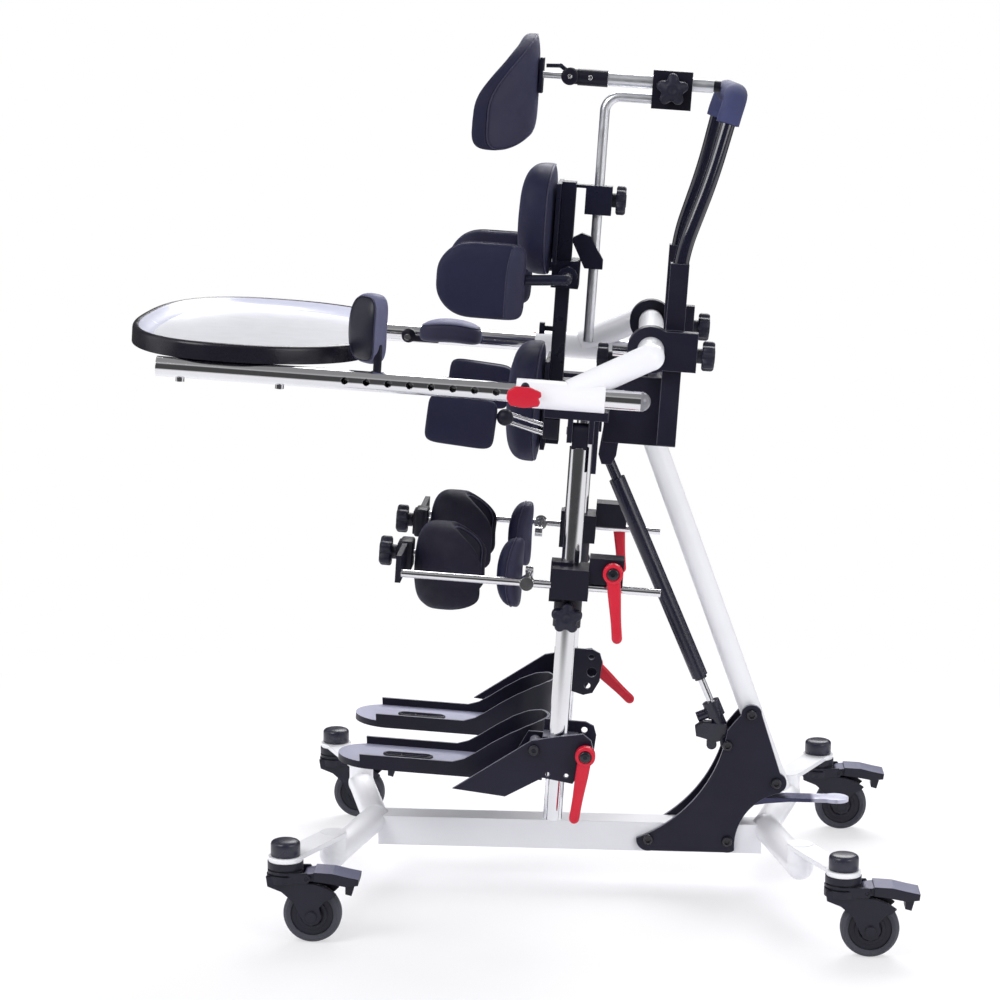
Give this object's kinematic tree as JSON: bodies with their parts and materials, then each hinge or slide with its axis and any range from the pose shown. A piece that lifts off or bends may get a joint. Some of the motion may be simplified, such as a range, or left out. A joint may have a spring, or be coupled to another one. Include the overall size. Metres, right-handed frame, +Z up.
{
  "type": "standing frame",
  "caption": "Wheeled standing frame: a tilting mast carries tray, chest, hip, knee and head supports and foot sandals on a castor base.",
  "frame": {"origin": "on the floor under the middle of the frame's overall box", "axes": "+X to the back (push handle), -X to the tray, -Y the user's left, +Z up"},
  "size_m": [1.0344, 0.636, 1.1435],
  "materials": {
    "white_coat": "smooth white powder coat",
    "black_coat": "satin black coat",
    "bright_steel": "polished chrome",
    "grey_steel": "brushed",
    "black_plastic": "moulded, fine grain",
    "red_plastic": "moulded, glossy",
    "white_plastic": "smooth moulded sheet",
    "navy_cover": "matte wipe-clean cover over foam",
    "navy_foam": "soft closed-cell foam",
    "castor_tyre": "grey rubber tread on a black rim"
  },
  "bodies": {
    "base": {"base_frame": "white_coat", "socket_caps": "black_plastic", "side_plates": "black_coat", "plate_bolts": "black_coat", "mast": "white_coat"},
    "castor_front_left": {"castor_fork_front_left": "black_plastic"},
    "wheel_front_left": {"castor_wheel_front_left": "castor_tyre"},
    "brake_front_left": {"castor_pedal_front_left": "black_plastic"},
    "castor_front_right": {"castor_fork_front_right": "black_plastic"},
    "wheel_front_right": {"castor_wheel_front_right": "castor_tyre"},
    "brake_front_right": {"castor_pedal_front_right": "black_plastic"},
    "castor_rear_left": {"castor_fork_rear_left": "black_plastic"},
    "wheel_rear_left": {"castor_wheel_rear_left": "castor_tyre"},
    "brake_rear_left": {"castor_pedal_rear_left": "black_plastic"},
    "castor_rear_right": {"castor_fork_rear_right": "black_plastic"},
    "wheel_rear_right": {"castor_wheel_rear_right": "castor_tyre"},
    "brake_rear_right": {"castor_pedal_rear_right": "black_plastic"},
    "support": {"carrier": "black_coat", "back_post": "black_coat", "star_knobs": "black_plastic", "pelvis_pad": "navy_cover", "hip_arms": "bright_steel", "hip_pads": "navy_cover"},
    "gas_rod": {"gas_spring_rod": "black_coat"},
    "gas_body": {"gas_spring_body": "black_coat"},
    "pedal": {"release_pedal": "grey_steel"},
    "chest": {"chest_bracket": "black_coat", "chest_pad": "navy_cover", "lateral_pads": "navy_cover"},
    "tray_arm": {"tray_arms": "white_coat"},
    "tray": {"tray_tubes": "bright_steel", "tray_board": "white_plastic", "tray_rim": "black_plastic"},
    "pin_left": {"tray_pin_left": "red_plastic"},
    "pin_right": {"tray_pin_right": "red_plastic"},
    "elbow_left": {"elbow_pad_left": "navy_cover"},
    "elbow_right": {"elbow_pad_right": "navy_cover"},
    "leg_left": {"leg_tube_left": "bright_steel"},
    "knee_left": {"knee_clamp_left": "black_plastic"},
    "knee_pad_left": {"knee_rod_left": "bright_steel", "knee_pads_left": "navy_cover"},
    "knee_handle_left": {"knee_lever_left": "red_plastic"},
    "foot_left": {"foot_bracket_left": "black_coat"},
    "shoe_left": {"sandal_left": "black_plastic"},
    "foot_handle_left": {"foot_lever_left": "red_plastic"},
    "leg_right": {"leg_tube_right": "bright_steel"},
    "knee_right": {"knee_clamp_right": "black_plastic"},
    "knee_pad_right": {"knee_rod_right": "bright_steel", "knee_pads_right": "navy_cover"},
    "knee_handle_right": {"knee_lever_right": "red_plastic"},
    "foot_right": {"foot_bracket_right": "black_coat"},
    "shoe_right": {"sandal_right": "black_plastic"},
    "foot_handle_right": {"foot_lever_right": "red_plastic"},
    "head": {"head_post": "bright_steel", "head_clamp": "black_plastic"},
    "head_rail": {"head_bar": "bright_steel"},
    "headrest": {"headrest_stem": "bright_steel", "headrest_pad": "navy_cover"},
    "handle": {"push_handle": "black_coat", "handle_grip": "navy_foam"}
  },
  "joints": [
    {"name": "castor_swivel_front_left", "type": "hinge", "parent": "base", "child": "castor_front_left", "pos_m": [-0.28881, -0.29, 0.06], "axis": [0, 0, 1], "continuous": true},
    {"name": "castor_roll_front_left", "type": "hinge", "parent": "castor_front_left", "child": "wheel_front_left", "pos_m": [-0.25381, -0.29, 0.0375], "axis": [0, 1, 0], "continuous": true},
    {"name": "castor_brake_front_left", "type": "hinge", "parent": "castor_front_left", "child": "brake_front_left", "pos_m": [-0.25981, -0.29, 0.088], "axis": [0, 1, 0], "range_deg": [0, 10]},
    {"name": "castor_swivel_front_right", "type": "hinge", "parent": "base", "child": "castor_front_right", "pos_m": [-0.28881, 0.29, 0.06], "axis": [0, 0, 1], "continuous": true},
    {"name": "castor_roll_front_right", "type": "hinge", "parent": "castor_front_right", "child": "wheel_front_right", "pos_m": [-0.25381, 0.29, 0.0375], "axis": [0, 1, 0], "continuous": true},
    {"name": "castor_brake_front_right", "type": "hinge", "parent": "castor_front_right", "child": "brake_front_right", "pos_m": [-0.25981, 0.29, 0.088], "axis": [0, 1, 0], "range_deg": [0, 10]},
    {"name": "castor_swivel_rear_left", "type": "hinge", "parent": "base", "child": "castor_rear_left", "pos_m": [0.42119, -0.29, 0.06], "axis": [0, 0, 1], "continuous": true},
    {"name": "castor_roll_rear_left", "type": "hinge", "parent": "castor_rear_left", "child": "wheel_rear_left", "pos_m": [0.45619, -0.29, 0.0375], "axis": [0, 1, 0], "continuous": true},
    {"name": "castor_brake_rear_left", "type": "hinge", "parent": "castor_rear_left", "child": "brake_rear_left", "pos_m": [0.45019, -0.29, 0.088], "axis": [0, 1, 0], "range_deg": [0, 10]},
    {"name": "castor_swivel_rear_right", "type": "hinge", "parent": "base", "child": "castor_rear_right", "pos_m": [0.42119, 0.29, 0.06], "axis": [0, 0, 1], "continuous": true},
    {"name": "castor_roll_rear_right", "type": "hinge", "parent": "castor_rear_right", "child": "wheel_rear_right", "pos_m": [0.45619, 0.29, 0.0375], "axis": [0, 1, 0], "continuous": true},
    {"name": "castor_brake_rear_right", "type": "hinge", "parent": "castor_rear_right", "child": "brake_rear_right", "pos_m": [0.45019, 0.29, 0.088], "axis": [0, 1, 0], "range_deg": [0, 10]},
    {"name": "tilt", "type": "hinge", "parent": "base", "child": "support", "pos_m": [0.15619, 0, 0.655], "axis": [0, 1, 0], "range_deg": [-4, 20]},
    {"name": "gas_spring_swing", "type": "hinge", "parent": "base", "child": "gas_rod", "pos_m": [0.27919, 0, 0.202], "axis": [0, 1, 0], "range_deg": [-2, 1]},
    {"name": "gas_spring_stroke", "type": "slide", "parent": "gas_rod", "child": "gas_body", "axis": [-0.3986, 0, 0.9171], "range_m": [-0.006, 0.026]},
    {"name": "release_pedal_press", "type": "hinge", "parent": "base", "child": "pedal", "pos_m": [0.29419, 0, 0.12], "axis": [0, 1, 0], "range_deg": [0, 10], "stiffness_Nm_per_rad": 6, "springref_deg": -5.73},
    {"name": "chest_height", "type": "slide", "parent": "support", "child": "chest", "axis": [0.0576, 0, 0.9983], "range_m": [-0.04, 0]},
    {"name": "tray_tilt", "type": "hinge", "parent": "support", "child": "tray_arm", "pos_m": [0.16506, 0, 0.75666], "axis": [0, 1, 0], "range_deg": [-10, 15]},
    {"name": "tray_depth", "type": "slide", "parent": "tray_arm", "child": "tray", "axis": [0.9983, 0, -0.0576], "range_m": [-0.06, 0.05]},
    {"name": "tray_pin_pull_left", "type": "slide", "parent": "tray_arm", "child": "pin_left", "axis": [0, -1, 0], "range_m": [0, 0.006], "stiffness_N_per_m": 900, "springref_m": -0.002},
    {"name": "tray_pin_pull_right", "type": "slide", "parent": "tray_arm", "child": "pin_right", "axis": [0, 1, 0], "range_m": [0, 0.006], "stiffness_N_per_m": 900, "springref_m": -0.002},
    {"name": "elbow_fold_left", "type": "hinge", "parent": "tray", "child": "elbow_left", "pos_m": [-0.18048, -0.24, 0.72249], "axis": [0, 1, 0], "range_deg": [0, 90]},
    {"name": "elbow_fold_right", "type": "hinge", "parent": "tray", "child": "elbow_right", "pos_m": [-0.18048, 0.24, 0.72249], "axis": [0, 1, 0], "range_deg": [-90, 0]},
    {"name": "leg_spread_left", "type": "hinge", "parent": "support", "child": "leg_left", "pos_m": [0.07786, -0.19, 0.6515], "axis": [-0.9983, 0, 0.0576], "range_deg": [0, 12]},
    {"name": "knee_height_left", "type": "slide", "parent": "leg_left", "child": "knee_left", "axis": [0.0576, 0, 0.9983], "range_m": [-0.05, 0.05]},
    {"name": "knee_depth_left", "type": "slide", "parent": "knee_left", "child": "knee_pad_left", "axis": [0.9983, 0, -0.0576], "range_m": [-0.04, 0.02]},
    {"name": "knee_lever_turn_left", "type": "hinge", "parent": "knee_left", "child": "knee_handle_left", "pos_m": [0.12287, -0.236, 0.47662], "axis": [0, -1, 0], "range_deg": [0, 90]},
    {"name": "foot_height_left", "type": "slide", "parent": "leg_left", "child": "foot_left", "axis": [0.0576, 0, 0.9983], "range_m": [0, 0.05]},
    {"name": "ankle_left", "type": "hinge", "parent": "foot_left", "child": "shoe_left", "pos_m": [0.02396, -0.111, 0.23792], "axis": [0, 1, 0], "range_deg": [-5, 15]},
    {"name": "foot_lever_turn_left", "type": "hinge", "parent": "foot_left", "child": "foot_handle_left", "pos_m": [0.09085, -0.222, 0.23406], "axis": [0, -1, 0], "range_deg": [0, 90]},
    {"name": "leg_spread_right", "type": "hinge", "parent": "support", "child": "leg_right", "pos_m": [0.07786, 0.19, 0.6515], "axis": [0.9983, 0, -0.0576], "range_deg": [0, 12]},
    {"name": "knee_height_right", "type": "slide", "parent": "leg_right", "child": "knee_right", "axis": [0.0576, 0, 0.9983], "range_m": [-0.05, 0.05]},
    {"name": "knee_depth_right", "type": "slide", "parent": "knee_right", "child": "knee_pad_right", "axis": [0.9983, 0, -0.0576], "range_m": [-0.04, 0.02]},
    {"name": "knee_lever_turn_right", "type": "hinge", "parent": "knee_right", "child": "knee_handle_right", "pos_m": [0.12287, 0.236, 0.47662], "axis": [0, -1, 0], "range_deg": [0, 90]},
    {"name": "foot_height_right", "type": "slide", "parent": "leg_right", "child": "foot_right", "axis": [0.0576, 0, 0.9983], "range_m": [0, 0.05]},
    {"name": "ankle_right", "type": "hinge", "parent": "foot_right", "child": "shoe_right", "pos_m": [0.02396, 0.111, 0.23792], "axis": [0, 1, 0], "range_deg": [-5, 15]},
    {"name": "foot_lever_turn_right", "type": "hinge", "parent": "foot_right", "child": "foot_handle_right", "pos_m": [0.092, 0.222, 0.25403], "axis": [0, -1, 0], "range_deg": [-40, 45]},
    {"name": "head_height", "type": "slide", "parent": "support", "child": "head", "axis": [0.0576, 0, 0.9983], "range_m": [0, 0.08]},
    {"name": "head_depth", "type": "slide", "parent": "head", "child": "head_rail", "axis": [0.9983, 0, -0.0576], "range_m": [-0.04, 0]},
    {"name": "headrest_nod", "type": "hinge", "parent": "head_rail", "child": "headrest", "pos_m": [0.05239, 0, 1.09571], "axis": [0, 1, 0], "range_deg": [-10, 15]},
    {"name": "handle_height", "type": "slide", "parent": "support", "child": "handle", "axis": [0.0576, 0, 0.9983], "range_m": [0, 0.08]}
  ],
  "couplings": [
    {"joint": "gas_spring_swing", "follows": "tilt", "ratio": -0.06},
    {"joint": "gas_spring_stroke", "follows": "tilt", "m_per_rad": 0.07105}
  ]
}
